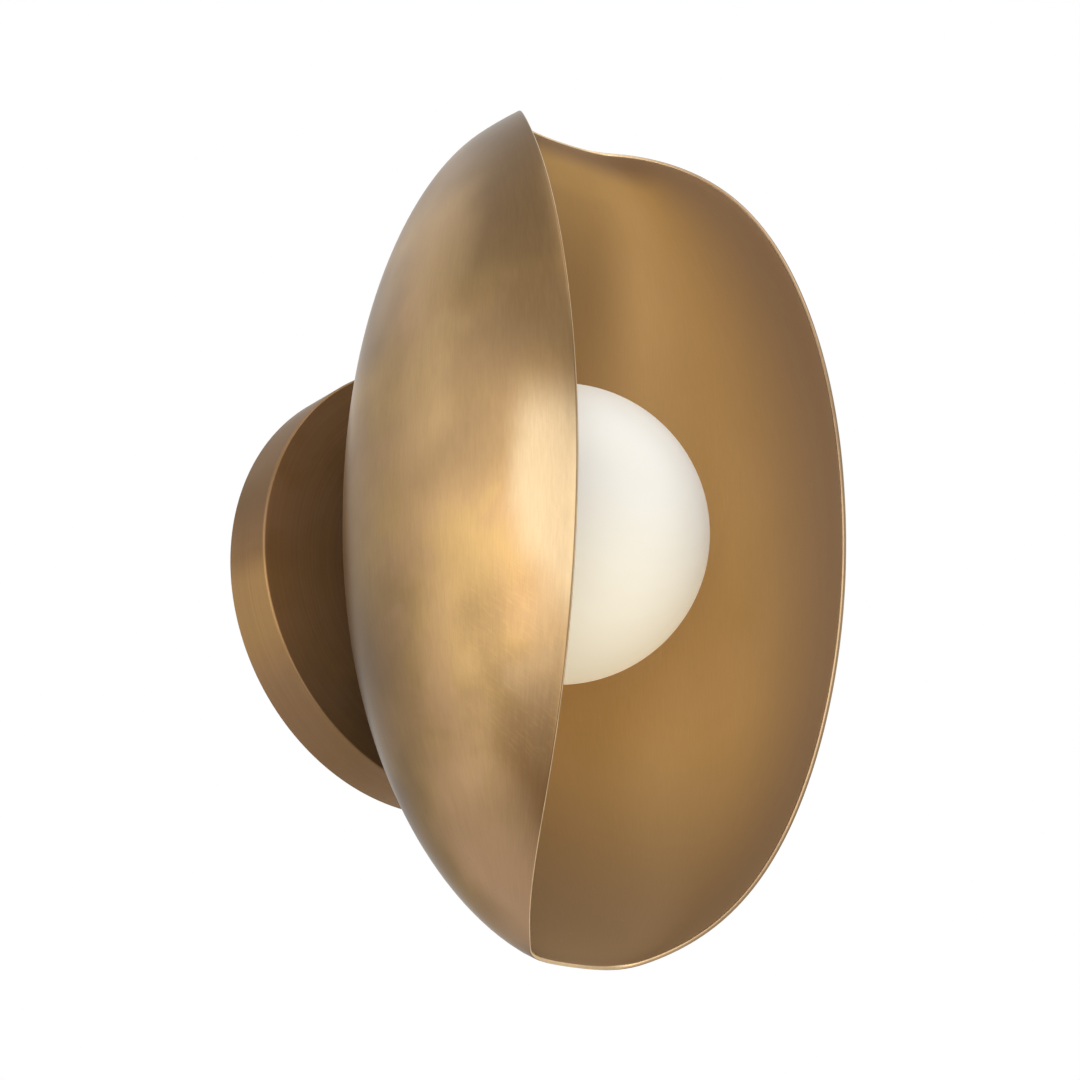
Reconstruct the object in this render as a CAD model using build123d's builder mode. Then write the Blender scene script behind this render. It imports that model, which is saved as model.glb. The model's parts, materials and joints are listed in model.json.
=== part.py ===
from build123d import *
from math import pi, radians, sin, sqrt, tan
import os

os.makedirs("parts", exist_ok=True)

# Wall light: an open metal shade around an opal globe, on a round canopy. Millimetres.
# The wall is the plane Y = 0, the room lies towards -Y and up is +Z.
# A depth is a distance from the wall into the room.

# Clearances
hole_gap = 0.25  # around a shank, tube or lead in its hole
thread_gap = 0.1  # between threads that stay put, drawn as plain cylinders
running_gap = 0.3  # between the threads of globe and cup
bond_gap = 0.2  # adhesive between glass and collar

# Slotted pan heads, as shares of the head's height
head_rounding_share = 0.5
head_slot_width_share = 0.33
head_slot_depth_share = 0.5

# Canopy: a round cup, open to the wall
canopy_radius = 76.2
canopy_depth = 21.0
canopy_wall = 1.5
canopy_edge_radius = 2.0

# Crossbar that is screwed to the junction box
bar_width = 25.0
bar_wall = 2.0
bar_bend_radius = 2.5
bar_hole_radius = 5.2
ear_reach = 14.0
ear_gap = 1.0
box_slot_spacing = 79.4
box_slot_length = 14.2
box_slot_width = 4.6

# Screws in the canopy's side, at 12 and 6 o'clock
side_screw_depth = 9.0
side_screw_radius = 2.0
side_screw_head_radius = 3.6
side_screw_head_height = 2.2
side_screw_past_ear = 1.5

# Earth screw and ring terminal on the crossbar
ground_height = 22.0
ground_screw_radius = 2.0
ground_head_radius = 4.0
ground_head_height = 2.4
terminal_wall = 0.8
terminal_ring_width = 2.2
terminal_barrel_length = 6.0
terminal_barrel_reach = 5.0

# Hollow threaded tube and its nuts
tube_radius = 4.9
tube_bore = 3.6
tube_past_nut = 1.0
nut_across_flats = 14.0
nut_sides = 6
nut_height = 4.0
washer_radius = 9.0
washer_wall = 1.0
washer_tooth_count = 12
washer_tooth_gap = 1.2
washer_tooth_depth = 1.6
bushing_flange = 1.0
bushing_flange_radius = 5.6
bushing_length = 5.0
bushing_bore = 2.8

# Spacer between canopy and shade
spacer_length = 11.1
spacer_radius = 20.0
spacer_edge_radius = 0.8

# Shade: egg-shaped level sections, a round back in side view and an elliptical rim
shade_wall = 1.5
shade_half_width = 75.7
shade_back_drop = 50.2  # how far the back falls forward at the height of the rim's tips
shade_side_margin = 1.5  # from the rim's tip up to where the sides would close
shade_side_power = 2.243
shade_widest = 88.0  # depth of the widest point
shade_back_fullness = 0.711  # handle of a back quadrant, fuller than an ellipse
shade_front_length = 94.7  # from the widest point to where the front would close
shade_front_drop = 42.3  # how much shorter that length is at the tips
shade_seat_edge = 0.41  # step round the pressed flat seat
shade_seat_margin = 1.0
rim_half_height = 142.0
rim_centre_depth = 73.4
rim_length = 82.4
section_count = 13
section_end_gap = 0.4  # from the last section to where the sides would close
ellipse_handle = 0.5523  # handle of a quarter ellipse drawn as a cubic curve

# Cup that carries the globe's thread
cup_radius = 18.3
cup_wall = 2.0
cup_floor = 2.5
cup_height = 10.0

# Globe, its collar and its seal
globe_radius = 48.6
glass_wall = 3.0
glass_lip = 0.8
collar_wall = 1.7
collar_flange_width = 3.5
collar_flange_wall = 1.3
collar_length = 8.0
gasket_wall = 1.1
gasket_inset = 0.6

# Two-pin lampholder on a strap
strap_wall = 1.0
strap_margin = 2.0  # metal beside the tube's hole
strap_bend_radius = 1.0
strap_overlap = 12.0
nut_room = 1.0
holder_radius = 9.6
holder_length = 18.0
holder_lead_room = 7.0
holder_slot_depth = 12.5
holder_slot_width = 2.8
holder_slot_height = 6.0
contact_wall = 0.5
contact_side_gap = 0.5
contact_front_gap = 1.0
holder_screw_radius = 1.25
holder_screw_grip = 3.0
holder_screw_head_radius = 2.3
holder_screw_head_height = 1.5
holder_screw_inset = 8.0

# Capsule bulb
pin_spacing = 9.0
pin_radius = 0.5
pin_loop_width = 3.0
pin_end_gap = 1.5
bulb_radius = 8.2
bulb_base_length = 12.0
bulb_step = 0.6
bulb_cover_length = 32.0
bulb_cover_wall = 1.0
post_radius = 3.6
post_sides = 6
post_tip_gap = 4.0

# Leads and twist-on connectors
lead_radius = 1.0
lead_spacing = 2.4
lead_run_in = 2.0  # straight length where a lead leaves the tube or enters the holder
bend_share = 0.45  # share of the shorter run that a bend takes up
lead_turn_depth = 5.5  # where the leads turn aside behind the tube
lead_turn_side = 16.0
lead_turn_height = 5.0
lead_drop_height = 4.0  # where they turn down to their connectors
ground_turn_side = 22.0
ground_turn_height = 26.0
connector_radius = 5.0
connector_tip_radius = 3.6
connector_tip_rounding = 1.5
connector_length = 16.0
connector_bore = 2.6
connector_bore_depth = 9.0
connector_groove_count = 12
connector_groove_radius = 0.5
connector_depth = 9.0
line_connector_side = 32.0
line_connector_height = -5.0  # mouth, which faces up
ground_connector_side = 30.0
ground_connector_height = 32.0  # mouth, which faces down

# Radii that follow from a fit
canopy_inner_radius = canopy_radius - canopy_wall
tube_hole = tube_radius + hole_gap
nut_thread = tube_radius + thread_gap
collar_bore = cup_radius + running_gap
collar_radius = collar_bore + collar_wall
glass_bore = collar_radius + bond_gap
flange_radius = glass_bore + collar_flange_width
glass_flat_radius = flange_radius + glass_lip
seat_radius = flange_radius + shade_seat_margin
holder_flat = nut_across_flats / 2 + nut_room
strap_half_height = holder_flat + strap_wall
strap_half_width = tube_hole + strap_margin
lead_hole = lead_radius + hole_gap

# The back is a circle in side view, and the seat is pressed in a little past its edge
shade_back_radius = (rim_half_height**2 + shade_back_drop**2) / (2 * shade_back_drop)
seat_sag = shade_back_radius - sqrt(shade_back_radius**2 - seat_radius**2)
shade_seat_press = seat_sag + shade_seat_edge

# Depths along the axis, from the wall outwards
canopy_inner_depth = canopy_depth - canopy_wall
rear_nut_depth = canopy_inner_depth - washer_wall - nut_height
tube_rear = rear_nut_depth - tube_past_nut
seat_depth = canopy_depth + spacer_length
shade_back = seat_depth - shade_seat_press
seat_front = seat_depth + shade_wall
cup_floor_front = seat_front + cup_floor
cup_nut_depth = cup_floor_front + strap_wall
tube_front = cup_nut_depth + nut_height + tube_past_nut
holder_rear = tube_front + holder_lead_room
holder_front = holder_rear + holder_length
gasket_front = seat_front + gasket_wall
glass_flat = gasket_front + collar_flange_wall

# The globe's flat rests on the collar's flange
globe_centre = glass_flat + sqrt(globe_radius**2 - glass_flat_radius**2)

# The ears stay inside the canopy's round wall
ear_height = sqrt(canopy_inner_radius**2 - (bar_width / 2) ** 2) - ear_gap


def finish(builder, name):
    builder.part.label = name
    export_step(builder.part, "parts/" + name + ".step")


def pan_screw(shank_radius, shank_length, head_radius, head_height):
    # Slotted pan-head screw along Z, with the underside of its head at Z = 0
    with BuildPart() as screw:
        with BuildSketch():
            Circle(head_radius)
        extrude(amount=head_height)
        fillet(screw.faces().sort_by(Axis.Z)[-1].edges(), head_rounding_share * head_height)
        with BuildSketch(Plane.XY.offset(head_height)):
            Rectangle(2 * head_radius, head_slot_width_share * head_height)
        extrude(amount=-head_slot_depth_share * head_height, mode=Mode.SUBTRACT)
        with BuildSketch():
            Circle(shank_radius)
        extrude(amount=-shank_length)
    return screw.part


def shade_section(level, inset):
    # Right half of a level section: a back quadrant, a front quadrant and the middle line
    rise = abs(level) / rim_half_height
    reach = rim_half_height + shade_side_margin - inset
    back_radius = shade_back_radius - inset
    back = -(shade_back + shade_back_radius - sqrt(back_radius**2 - level**2))
    side = (1 - (abs(level) / reach) ** shade_side_power) ** (1 / shade_side_power)
    half = (shade_half_width - inset) * side
    widest = -shade_widest
    front_length = shade_front_length - shade_front_drop * rise**2 - inset
    front = widest - front_length
    with BuildSketch(Plane.XY.offset(level)) as section:
        with BuildLine():
            Bezier(
                (0, back),
                (shade_back_fullness * half, back),
                (half, widest + shade_back_fullness * (back - widest)),
                (half, widest),
            )
            Bezier(
                (half, widest),
                (half, widest - ellipse_handle * front_length),
                (ellipse_handle * half, front),
                (0, front),
            )
            Line((0, front), (0, back))
        make_face()
    return section.sketch


def shade_half(inset, seat):
    # Right half of a closed egg body, flattened at the back as far as the seat's depth
    top = rim_half_height + shade_side_margin - inset - section_end_gap
    steps = [2 * i / (section_count - 1) - 1 for i in range(section_count)]
    levels = [top * sin(step * pi / 2) for step in steps]
    with BuildPart() as body:
        loft([shade_section(level, inset) for level in levels])
        with BuildSketch(Plane.XZ):
            Circle(seat_radius)
        extrude(amount=seat, mode=Mode.SUBTRACT)
    return body.part


# Shade: outer half less inner half, cut at the front by the rim's ellipse, then mirrored
with BuildPart() as shade:
    add(shade_half(0, seat_depth))
    add(shade_half(shade_wall, seat_front), mode=Mode.SUBTRACT)
    with BuildSketch(Plane.YZ):
        with BuildLine():
            EllipticalCenterArc(
                (-rim_centre_depth, 0), rim_length, rim_half_height, start_angle=90, arc_size=180
            )
            Polyline(
                (-rim_centre_depth, -rim_half_height),
                (0, -rim_half_height),
                (0, rim_half_height),
                (-rim_centre_depth, rim_half_height),
            )
        make_face()
    extrude(amount=2 * shade_half_width, both=True, mode=Mode.INTERSECT)
    with BuildSketch(Plane.XZ):
        Circle(tube_hole)
    extrude(amount=seat_front + shade_wall, mode=Mode.SUBTRACT)
    mirror(about=Plane.YZ)
finish(shade, "shade")

# Canopy
with BuildPart() as canopy:
    with BuildSketch(Plane.XZ):
        Circle(canopy_radius)
    extrude(amount=canopy_depth)
    fillet(canopy.faces().sort_by(Axis.Y)[0].edges(), canopy_edge_radius)
    offset(amount=-canopy_wall, openings=canopy.faces().sort_by(Axis.Y)[-1])
    with BuildSketch(Plane.XZ):
        Circle(tube_hole)
    extrude(amount=canopy_depth, mode=Mode.SUBTRACT)
    with BuildSketch(Plane.XY):
        with Locations((0, -side_screw_depth)):
            Circle(side_screw_radius + hole_gap)
    extrude(amount=canopy_radius, both=True, mode=Mode.SUBTRACT)
finish(canopy, "canopy")

# Crossbar with bent ears
with BuildPart() as wall_bracket:
    with BuildSketch(Plane.YZ):
        with BuildLine():
            FilletPolyline(
                (-ear_reach, ear_height - bar_wall / 2),
                (-bar_wall / 2, ear_height - bar_wall / 2),
                (-bar_wall / 2, bar_wall / 2 - ear_height),
                (-ear_reach, bar_wall / 2 - ear_height),
                radius=bar_bend_radius,
            )
        trace(line_width=bar_wall)
    extrude(amount=bar_width / 2, both=True)
    with BuildSketch(Plane.XZ):
        Circle(bar_hole_radius)
        with Locations((0, box_slot_spacing / 2), (0, -box_slot_spacing / 2)):
            SlotOverall(box_slot_length, box_slot_width, rotation=90)
        with Locations((0, ground_height)):
            Circle(ground_screw_radius + thread_gap)
    extrude(amount=bar_wall, mode=Mode.SUBTRACT)
    with BuildSketch(Plane.XY):
        with Locations((0, -side_screw_depth)):
            Circle(side_screw_radius + thread_gap)
    extrude(amount=canopy_radius, both=True, mode=Mode.SUBTRACT)
finish(wall_bracket, "wall_bracket")

# Side screws
side_screw_length = canopy_radius - ear_height + bar_wall + side_screw_past_ear
side_screw = pan_screw(
    side_screw_radius, side_screw_length, side_screw_head_radius, side_screw_head_height
)
with BuildPart() as canopy_screws:
    with Locations(Plane.XY.offset(canopy_radius)):
        with Locations((0, -side_screw_depth)):
            add(side_screw)
    mirror(about=Plane.XY)
finish(canopy_screws, "canopy_screws")

# Ring terminal and earth screw
terminal_radius = ground_screw_radius + hole_gap + terminal_ring_width
barrel_start = terminal_radius + terminal_barrel_reach
barrel_radius = lead_hole + terminal_wall
with BuildPart() as ground_terminal:
    with BuildSketch(Plane.XZ.offset(bar_wall)):
        with Locations((0, ground_height)):
            Circle(terminal_radius)
        with Locations((barrel_start / 2, ground_height)):
            Rectangle(barrel_start, 2 * lead_hole)
        with Locations((0, ground_height)):
            Circle(ground_screw_radius + hole_gap, mode=Mode.SUBTRACT)
    extrude(amount=terminal_wall)
    with BuildSketch(Plane.YZ.offset(barrel_start)):
        with Locations((-bar_wall - barrel_radius, ground_height)):
            Circle(barrel_radius)
            Circle(lead_hole, mode=Mode.SUBTRACT)
    extrude(amount=terminal_barrel_length)
finish(ground_terminal, "ground_terminal")

ground_shank = bar_wall + terminal_wall
with BuildPart() as ground_screw:
    with Locations(Plane.XZ.offset(ground_shank)):
        with Locations((0, ground_height)):
            add(pan_screw(ground_screw_radius, ground_shank, ground_head_radius, ground_head_height))
finish(ground_screw, "ground_screw")

# Threaded tube
with BuildPart() as tube:
    with BuildSketch(Plane.XZ.offset(tube_rear)):
        Circle(tube_radius)
        Circle(tube_bore, mode=Mode.SUBTRACT)
    extrude(amount=tube_front - tube_rear)
finish(tube, "threaded_tube")

# Nuts behind the canopy and in the cup
for name, depth in (("rear_nut", rear_nut_depth), ("cup_nut", cup_nut_depth)):
    with BuildPart() as nut:
        with BuildSketch(Plane.XZ.offset(depth)):
            RegularPolygon(nut_across_flats / 2, nut_sides, major_radius=False)
            Circle(nut_thread, mode=Mode.SUBTRACT)
        extrude(amount=nut_height)
    finish(nut, name)

# Internal-tooth lock washer
with BuildPart() as lock_washer:
    with BuildSketch(Plane.XZ.offset(canopy_inner_depth - washer_wall)):
        Circle(washer_radius)
        Circle(tube_hole, mode=Mode.SUBTRACT)
        with PolarLocations(tube_hole, washer_tooth_count):
            Rectangle(2 * washer_tooth_depth, washer_tooth_gap, mode=Mode.SUBTRACT)
    extrude(amount=washer_wall)
finish(lock_washer, "lock_washer")

# Plastic bushing in the tube's rear end
with BuildPart() as bushing:
    with BuildSketch(Plane.XZ.offset(tube_rear - bushing_flange)):
        Circle(bushing_flange_radius)
    extrude(amount=bushing_flange)
    with BuildSketch(Plane.XZ.offset(tube_rear)):
        Circle(tube_bore - thread_gap)
    extrude(amount=bushing_length)
    with BuildSketch(Plane.XZ.offset(tube_rear - bushing_flange)):
        Circle(bushing_bore)
    extrude(amount=bushing_flange + bushing_length, mode=Mode.SUBTRACT)
finish(bushing, "tube_bushing")

# Spacer
with BuildPart() as spacer:
    with BuildSketch(Plane.XZ.offset(canopy_depth)):
        Circle(spacer_radius)
    extrude(amount=spacer_length)
    fillet(spacer.edges(), spacer_edge_radius)
    with BuildSketch(Plane.XZ.offset(canopy_depth)):
        Circle(tube_hole)
    extrude(amount=spacer_length, mode=Mode.SUBTRACT)
finish(spacer, "spacer_collar")

# Cup with the thread for the globe
with BuildPart() as lamp_cup:
    with BuildSketch(Plane.XZ.offset(seat_front)):
        Circle(cup_radius)
    extrude(amount=cup_height)
    with BuildSketch(Plane.XZ.offset(cup_floor_front)):
        Circle(cup_radius - cup_wall)
    extrude(amount=cup_height, mode=Mode.SUBTRACT)
    with BuildSketch(Plane.XZ.offset(seat_front)):
        Circle(tube_hole)
    extrude(amount=cup_floor, mode=Mode.SUBTRACT)
finish(lamp_cup, "lamp_cup")

# Strap that holds the lampholder by its flats
strap_end = holder_rear + strap_overlap
holder_screw_depth = holder_rear + holder_screw_inset
with BuildPart() as strap:
    with BuildSketch(Plane.YZ):
        with BuildLine():
            FilletPolyline(
                (-strap_end, strap_half_height - strap_wall / 2),
                (-cup_floor_front - strap_wall / 2, strap_half_height - strap_wall / 2),
                (-cup_floor_front - strap_wall / 2, strap_wall / 2 - strap_half_height),
                (-strap_end, strap_wall / 2 - strap_half_height),
                radius=strap_bend_radius,
            )
        trace(line_width=strap_wall)
    extrude(amount=strap_half_width, both=True)
    with BuildSketch(Plane.XZ.offset(cup_floor_front)):
        Circle(tube_hole)
    extrude(amount=strap_wall, mode=Mode.SUBTRACT)
    with BuildSketch(Plane.XY):
        with Locations((0, -holder_screw_depth)):
            Circle(holder_screw_radius + hole_gap)
    extrude(amount=strap_half_height, both=True, mode=Mode.SUBTRACT)
finish(strap, "lampholder_strap")

# Lampholder: round ceramic body with two flats, contact slots and lead holes
with BuildPart() as lampholder:
    with BuildSketch(Plane.XZ.offset(holder_rear)):
        Circle(holder_radius)
        Rectangle(2 * holder_radius, 2 * holder_flat, mode=Mode.INTERSECT)
    extrude(amount=holder_length)
    with BuildSketch(Plane.XZ.offset(holder_front)):
        with Locations((pin_spacing / 2, 0), (-pin_spacing / 2, 0)):
            Rectangle(holder_slot_width, holder_slot_height)
    extrude(amount=-holder_slot_depth, mode=Mode.SUBTRACT)
    with BuildSketch(Plane.XZ.offset(holder_rear)):
        with Locations((pin_spacing / 2, 0), (-pin_spacing / 2, 0)):
            Circle(lead_hole)
    extrude(amount=holder_length - holder_slot_depth, mode=Mode.SUBTRACT)
    with BuildSketch(Plane.XY):
        with Locations((0, -holder_screw_depth)):
            Circle(holder_screw_radius + thread_gap)
    extrude(amount=holder_flat, both=True, mode=Mode.SUBTRACT)
finish(lampholder, "lampholder")

# Screws that hold the holder in its strap
holder_screw = pan_screw(
    holder_screw_radius,
    strap_wall + holder_screw_grip,
    holder_screw_head_radius,
    holder_screw_head_height,
)
with BuildPart() as holder_screws:
    with Locations(Plane.XY.offset(strap_half_height)):
        with Locations((0, -holder_screw_depth)):
            add(holder_screw)
    mirror(about=Plane.XY)
finish(holder_screws, "lampholder_screws")

# Contacts: a bent strip in each slot
slot_bottom = holder_front - holder_slot_depth
slot_inner = (pin_spacing - holder_slot_width) / 2
slot_outer = (pin_spacing + holder_slot_width) / 2
contact_front = holder_front - contact_front_gap
with BuildPart() as contacts:
    with BuildSketch(Plane.XY):
        with BuildLine():
            Polyline(
                (slot_inner, -slot_bottom),
                (slot_outer, -slot_bottom),
                (slot_outer, -contact_front),
                (slot_outer - contact_wall, -contact_front),
                (slot_outer - contact_wall, -slot_bottom - contact_wall),
                (slot_inner, -slot_bottom - contact_wall),
                close=True,
            )
        make_face()
    extrude(amount=holder_slot_height / 2 - contact_side_gap, both=True)
    mirror(about=Plane.YZ)
finish(contacts, "lampholder_contacts")

# Bulb pins: a wire loop in each slot
pin_end = slot_bottom + contact_wall + pin_end_gap + pin_radius
pin_half = pin_loop_width / 2
with BuildPart() as bulb_pins:
    with BuildLine(Plane.YZ.offset(pin_spacing / 2)) as loop:
        Line((-holder_front, pin_half), (-pin_end - pin_half, pin_half))
        ThreePointArc((-pin_end - pin_half, pin_half), (-pin_end, 0), (-pin_end - pin_half, -pin_half))
        Line((-pin_end - pin_half, -pin_half), (-holder_front, -pin_half))
    with BuildSketch(Plane.XZ.offset(holder_front)):
        with Locations((pin_spacing / 2, pin_half)):
            Circle(pin_radius)
    sweep(path=loop.wire())
    mirror(about=Plane.YZ)
finish(bulb_pins, "bulb_pins")

# Bulb base, cover and the post that carries its light source
bulb_base_front = holder_front + bulb_base_length
bulb_tip = bulb_base_front + bulb_cover_length
cover_radius = bulb_radius - bulb_step
with BuildPart() as bulb_base:
    with BuildSketch(Plane.XZ.offset(holder_front)):
        Circle(bulb_radius)
    extrude(amount=bulb_base_length)
finish(bulb_base, "bulb_base")

with BuildPart() as bulb_cover:
    with BuildSketch(Plane.XZ.offset(bulb_base_front)):
        Circle(cover_radius)
    extrude(amount=bulb_cover_length - cover_radius)
    with Locations((0, cover_radius - bulb_tip, 0)):
        Sphere(cover_radius)
    with BuildSketch(Plane.XZ.offset(bulb_base_front)):
        Circle(cover_radius - bulb_cover_wall)
    extrude(amount=bulb_cover_length - cover_radius, mode=Mode.SUBTRACT)
    with Locations((0, cover_radius - bulb_tip, 0)):
        Sphere(cover_radius - bulb_cover_wall, mode=Mode.SUBTRACT)
finish(bulb_cover, "bulb_cover")

with BuildPart() as led_post:
    with BuildSketch(Plane.XZ.offset(bulb_base_front)):
        RegularPolygon(post_radius, post_sides)
    extrude(amount=bulb_cover_length - bulb_cover_wall - post_tip_gap)
finish(led_post, "bulb_led_post")

# Globe collar: a threaded ring with a flange behind the glass
with BuildPart() as globe_collar:
    with BuildSketch(Plane.XZ.offset(gasket_front)):
        Circle(flange_radius)
        Circle(collar_bore, mode=Mode.SUBTRACT)
    extrude(amount=collar_flange_wall)
    with BuildSketch(Plane.XZ.offset(gasket_front)):
        Circle(collar_radius)
        Circle(collar_bore, mode=Mode.SUBTRACT)
    extrude(amount=collar_length)
finish(globe_collar, "globe_collar")

with BuildPart() as globe_gasket:
    with BuildSketch(Plane.XZ.offset(seat_front)):
        Circle(flange_radius - gasket_inset)
        Circle(collar_bore + gasket_inset, mode=Mode.SUBTRACT)
    extrude(amount=gasket_wall)
finish(globe_gasket, "globe_gasket")

# Globe: a hollow ball with a flat ground behind and an opening for the collar
glass_radius = globe_radius - glass_wall
glass_mouth = globe_centre - sqrt(glass_radius**2 - glass_bore**2)
with BuildPart() as globe_glass:
    with BuildSketch(Plane.XY):
        with BuildLine():
            ThreePointArc(
                (glass_flat_radius, -glass_flat),
                (globe_radius, -globe_centre),
                (0, -globe_centre - globe_radius),
            )
            Line((0, -globe_centre - globe_radius), (0, -globe_centre - glass_radius))
            ThreePointArc(
                (0, -globe_centre - glass_radius),
                (glass_radius, -globe_centre),
                (glass_bore, -glass_mouth),
            )
            Polyline(
                (glass_bore, -glass_mouth),
                (glass_bore, -glass_flat),
                (glass_flat_radius, -glass_flat),
            )
        make_face()
    revolve(axis=Axis.Y)
finish(globe_glass, "globe_glass")


def bend_radii(points):
    # Each bend is as large as its two runs allow
    radii = []
    for before, corner, after in zip(points, points[1:], points[2:]):
        run_in = Vector(*corner) - Vector(*before)
        run_out = Vector(*after) - Vector(*corner)
        half_turn = radians(run_in.get_angle(run_out)) / 2
        radii.append(bend_share * min(run_in.length, run_out.length) / tan(half_turn))
    return radii


def lead(points):
    # Round lead along straight runs and tangent bends
    radii = bend_radii(points)
    with BuildPart() as wire:
        with BuildLine() as route:
            FilletPolyline(*points, radius=radii)
        with BuildSketch(Plane(origin=route.line @ 0, z_dir=route.line % 0)):
            Circle(lead_radius)
        sweep()
    full_volume = pi * lead_radius**2 * route.wire().length
    print("bend radii", [round(radius, 1) for radius in radii])
    print("volume share", round(wire.part.volume / full_volume, 4))
    return wire.part


# Lead routes through the tube into the canopy
tube_lead = lead_spacing / 2
line_route = [
    (pin_spacing / 2, -slot_bottom, 0),
    (pin_spacing / 2, lead_run_in - holder_rear, 0),
    (tube_lead, -tube_front - lead_run_in, 0),
    (tube_lead, -lead_turn_depth, 0),
    (lead_turn_side, -lead_turn_depth, lead_turn_height),
    (line_connector_side, -connector_depth, lead_drop_height),
    (line_connector_side, -connector_depth, line_connector_height - connector_bore_depth),
]
barrel_axis = bar_wall + barrel_radius
ground_route = [
    (barrel_start, -barrel_axis, ground_height),
    (ground_turn_side, -barrel_axis, ground_height),
    (ground_connector_side, -connector_depth, ground_turn_height),
    (ground_connector_side, -connector_depth, ground_connector_height + connector_bore_depth),
]
with BuildPart() as line_lead:
    add(lead(line_route))
finish(line_lead, "line_lead")

with BuildPart() as neutral_lead:
    mirror(line_lead.part, about=Plane.YZ)
finish(neutral_lead, "neutral_lead")

with BuildPart() as ground_lead:
    add(lead(ground_route))
finish(ground_lead, "ground_lead")

# Twist-on connector along Z, with its mouth at Z = 0
with BuildPart() as connector:
    with BuildSketch():
        Circle(connector_radius)
    with BuildSketch(Plane.XY.offset(connector_length)):
        Circle(connector_tip_radius)
    loft()
    fillet(connector.faces().sort_by(Axis.Z)[-1].edges(), connector_tip_rounding)
    with BuildSketch():
        with PolarLocations(connector_radius, connector_groove_count):
            Circle(connector_groove_radius)
    extrude(amount=connector_length, mode=Mode.SUBTRACT)
    with BuildSketch():
        Circle(connector_bore)
    extrude(amount=connector_bore_depth, mode=Mode.SUBTRACT)

with BuildPart() as wire_connectors:
    with Locations(Location((line_connector_side, -connector_depth, line_connector_height), (180, 0, 0))):
        add(connector.part)
    mirror(about=Plane.YZ)
    with Locations((ground_connector_side, -connector_depth, ground_connector_height)):
        add(connector.part)
finish(wire_connectors, "wire_connectors")
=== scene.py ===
import json
import math

import bmesh
import bpy
from mathutils import Matrix, Vector


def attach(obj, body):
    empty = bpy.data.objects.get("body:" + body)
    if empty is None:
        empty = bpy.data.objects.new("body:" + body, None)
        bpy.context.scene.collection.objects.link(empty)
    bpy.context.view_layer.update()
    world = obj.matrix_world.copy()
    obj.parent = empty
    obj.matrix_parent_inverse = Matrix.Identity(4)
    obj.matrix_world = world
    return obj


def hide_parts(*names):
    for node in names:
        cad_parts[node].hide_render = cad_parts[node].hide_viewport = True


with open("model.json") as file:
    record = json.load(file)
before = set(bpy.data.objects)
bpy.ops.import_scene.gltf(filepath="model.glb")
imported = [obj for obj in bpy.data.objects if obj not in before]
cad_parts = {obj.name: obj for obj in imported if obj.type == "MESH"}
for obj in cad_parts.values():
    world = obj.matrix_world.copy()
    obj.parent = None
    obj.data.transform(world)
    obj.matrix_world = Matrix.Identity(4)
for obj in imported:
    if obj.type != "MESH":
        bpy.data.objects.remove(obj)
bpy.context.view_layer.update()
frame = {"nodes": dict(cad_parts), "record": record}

scene = bpy.context.scene
scene.view_settings.view_transform = "Standard"
print("frame:", len(frame["nodes"]), "solid nodes")

# camera at the photograph's angle, looking up at the light from its left
photoCamera = {
    "place": Vector((-0.5138, -0.7420, -0.3103)),
    "aim": Vector((-0.00174, -0.0700, -0.00014)),
    "roll": math.radians(0.75),
    "lens": 92.58,
    "sensor": 36.0,
}


def makeCamera(values):
    data = bpy.data.cameras.new("photoCamera")
    data.lens = values["lens"]
    data.sensor_width = values["sensor"]
    camera = bpy.data.objects.new("photoCamera", data)
    scene.collection.objects.link(camera)
    forward = (values["aim"] - values["place"]).normalized()
    right = forward.cross(Vector((0, 0, 1))).normalized()
    up = right.cross(forward)
    turn = Matrix((right, up, -forward)).transposed() @ Matrix.Rotation(-values["roll"], 3, "Z")
    camera.matrix_world = Matrix.Translation(values["place"]) @ turn.to_4x4()
    scene.camera = camera


makeCamera(photoCamera)
print("camera placed")

# soft studio: white to the camera and to reflections, a plain level for matt surfaces
studio = {
    "ambient": 0.58,
    "lamps": {
        "sideSoftbox": {"place": (-1.23, -0.29, 0.18), "size": (0.60, 0.90), "power": 5.2},
        "sideStrip": {"place": (-1.15, 0.33, 0.02), "size": (0.50, 1.70), "power": 4.4},
        "highBack": {"place": (-0.44, 0.75, 0.97), "size": (0.75, 0.60), "power": 1.0},
        "topSoftbox": {"place": (-0.20, -0.75, 1.30), "size": (1.20, 1.00), "power": 6.5},
        "lowFront": {"place": (-0.60, -0.85, -0.48), "size": (0.50, 0.35), "power": 1.4,
                     "colour": (1, 0.93, 0.80)},
        "frontSoftbox": {"place": (-1.05, -1.10, 0.12), "size": (0.90, 0.90), "power": 7.2},
        "rightFill": {"place": (2.20, -1.90, 0.40), "size": (1.80, 1.80), "power": 4.0},
    },
    "lampAim": Vector((0, -0.08, 0)),
}


# helpers for node trees
def give(tree, socket, value):
    # a plain number is set on the socket, anything else is linked to it
    if isinstance(value, (int, float)):
        socket.default_value = value
    else:
        tree.links.new(value, socket)


def calcIn(tree):
    def calc(operation, *values):
        node = tree.nodes.new("ShaderNodeMath")
        node.operation = operation
        for socket, value in zip(node.inputs, values):
            give(tree, socket, value)
        return node.outputs[0]
    return calc


def mixSeen(tree, path, seen, plain, white):
    # plain for scattered light, white where the camera, a reflection or glass looks
    calc = calcIn(tree)
    for name in ("Is Glossy Ray", "Is Transmission Ray"):
        seen = calc("MAXIMUM", seen, path.outputs[name])
    mix = tree.nodes.new("ShaderNodeMixShader")
    for socket, value in zip(mix.inputs, (seen, plain, white)):
        tree.links.new(value, socket)
    return mix.outputs[0]


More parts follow.
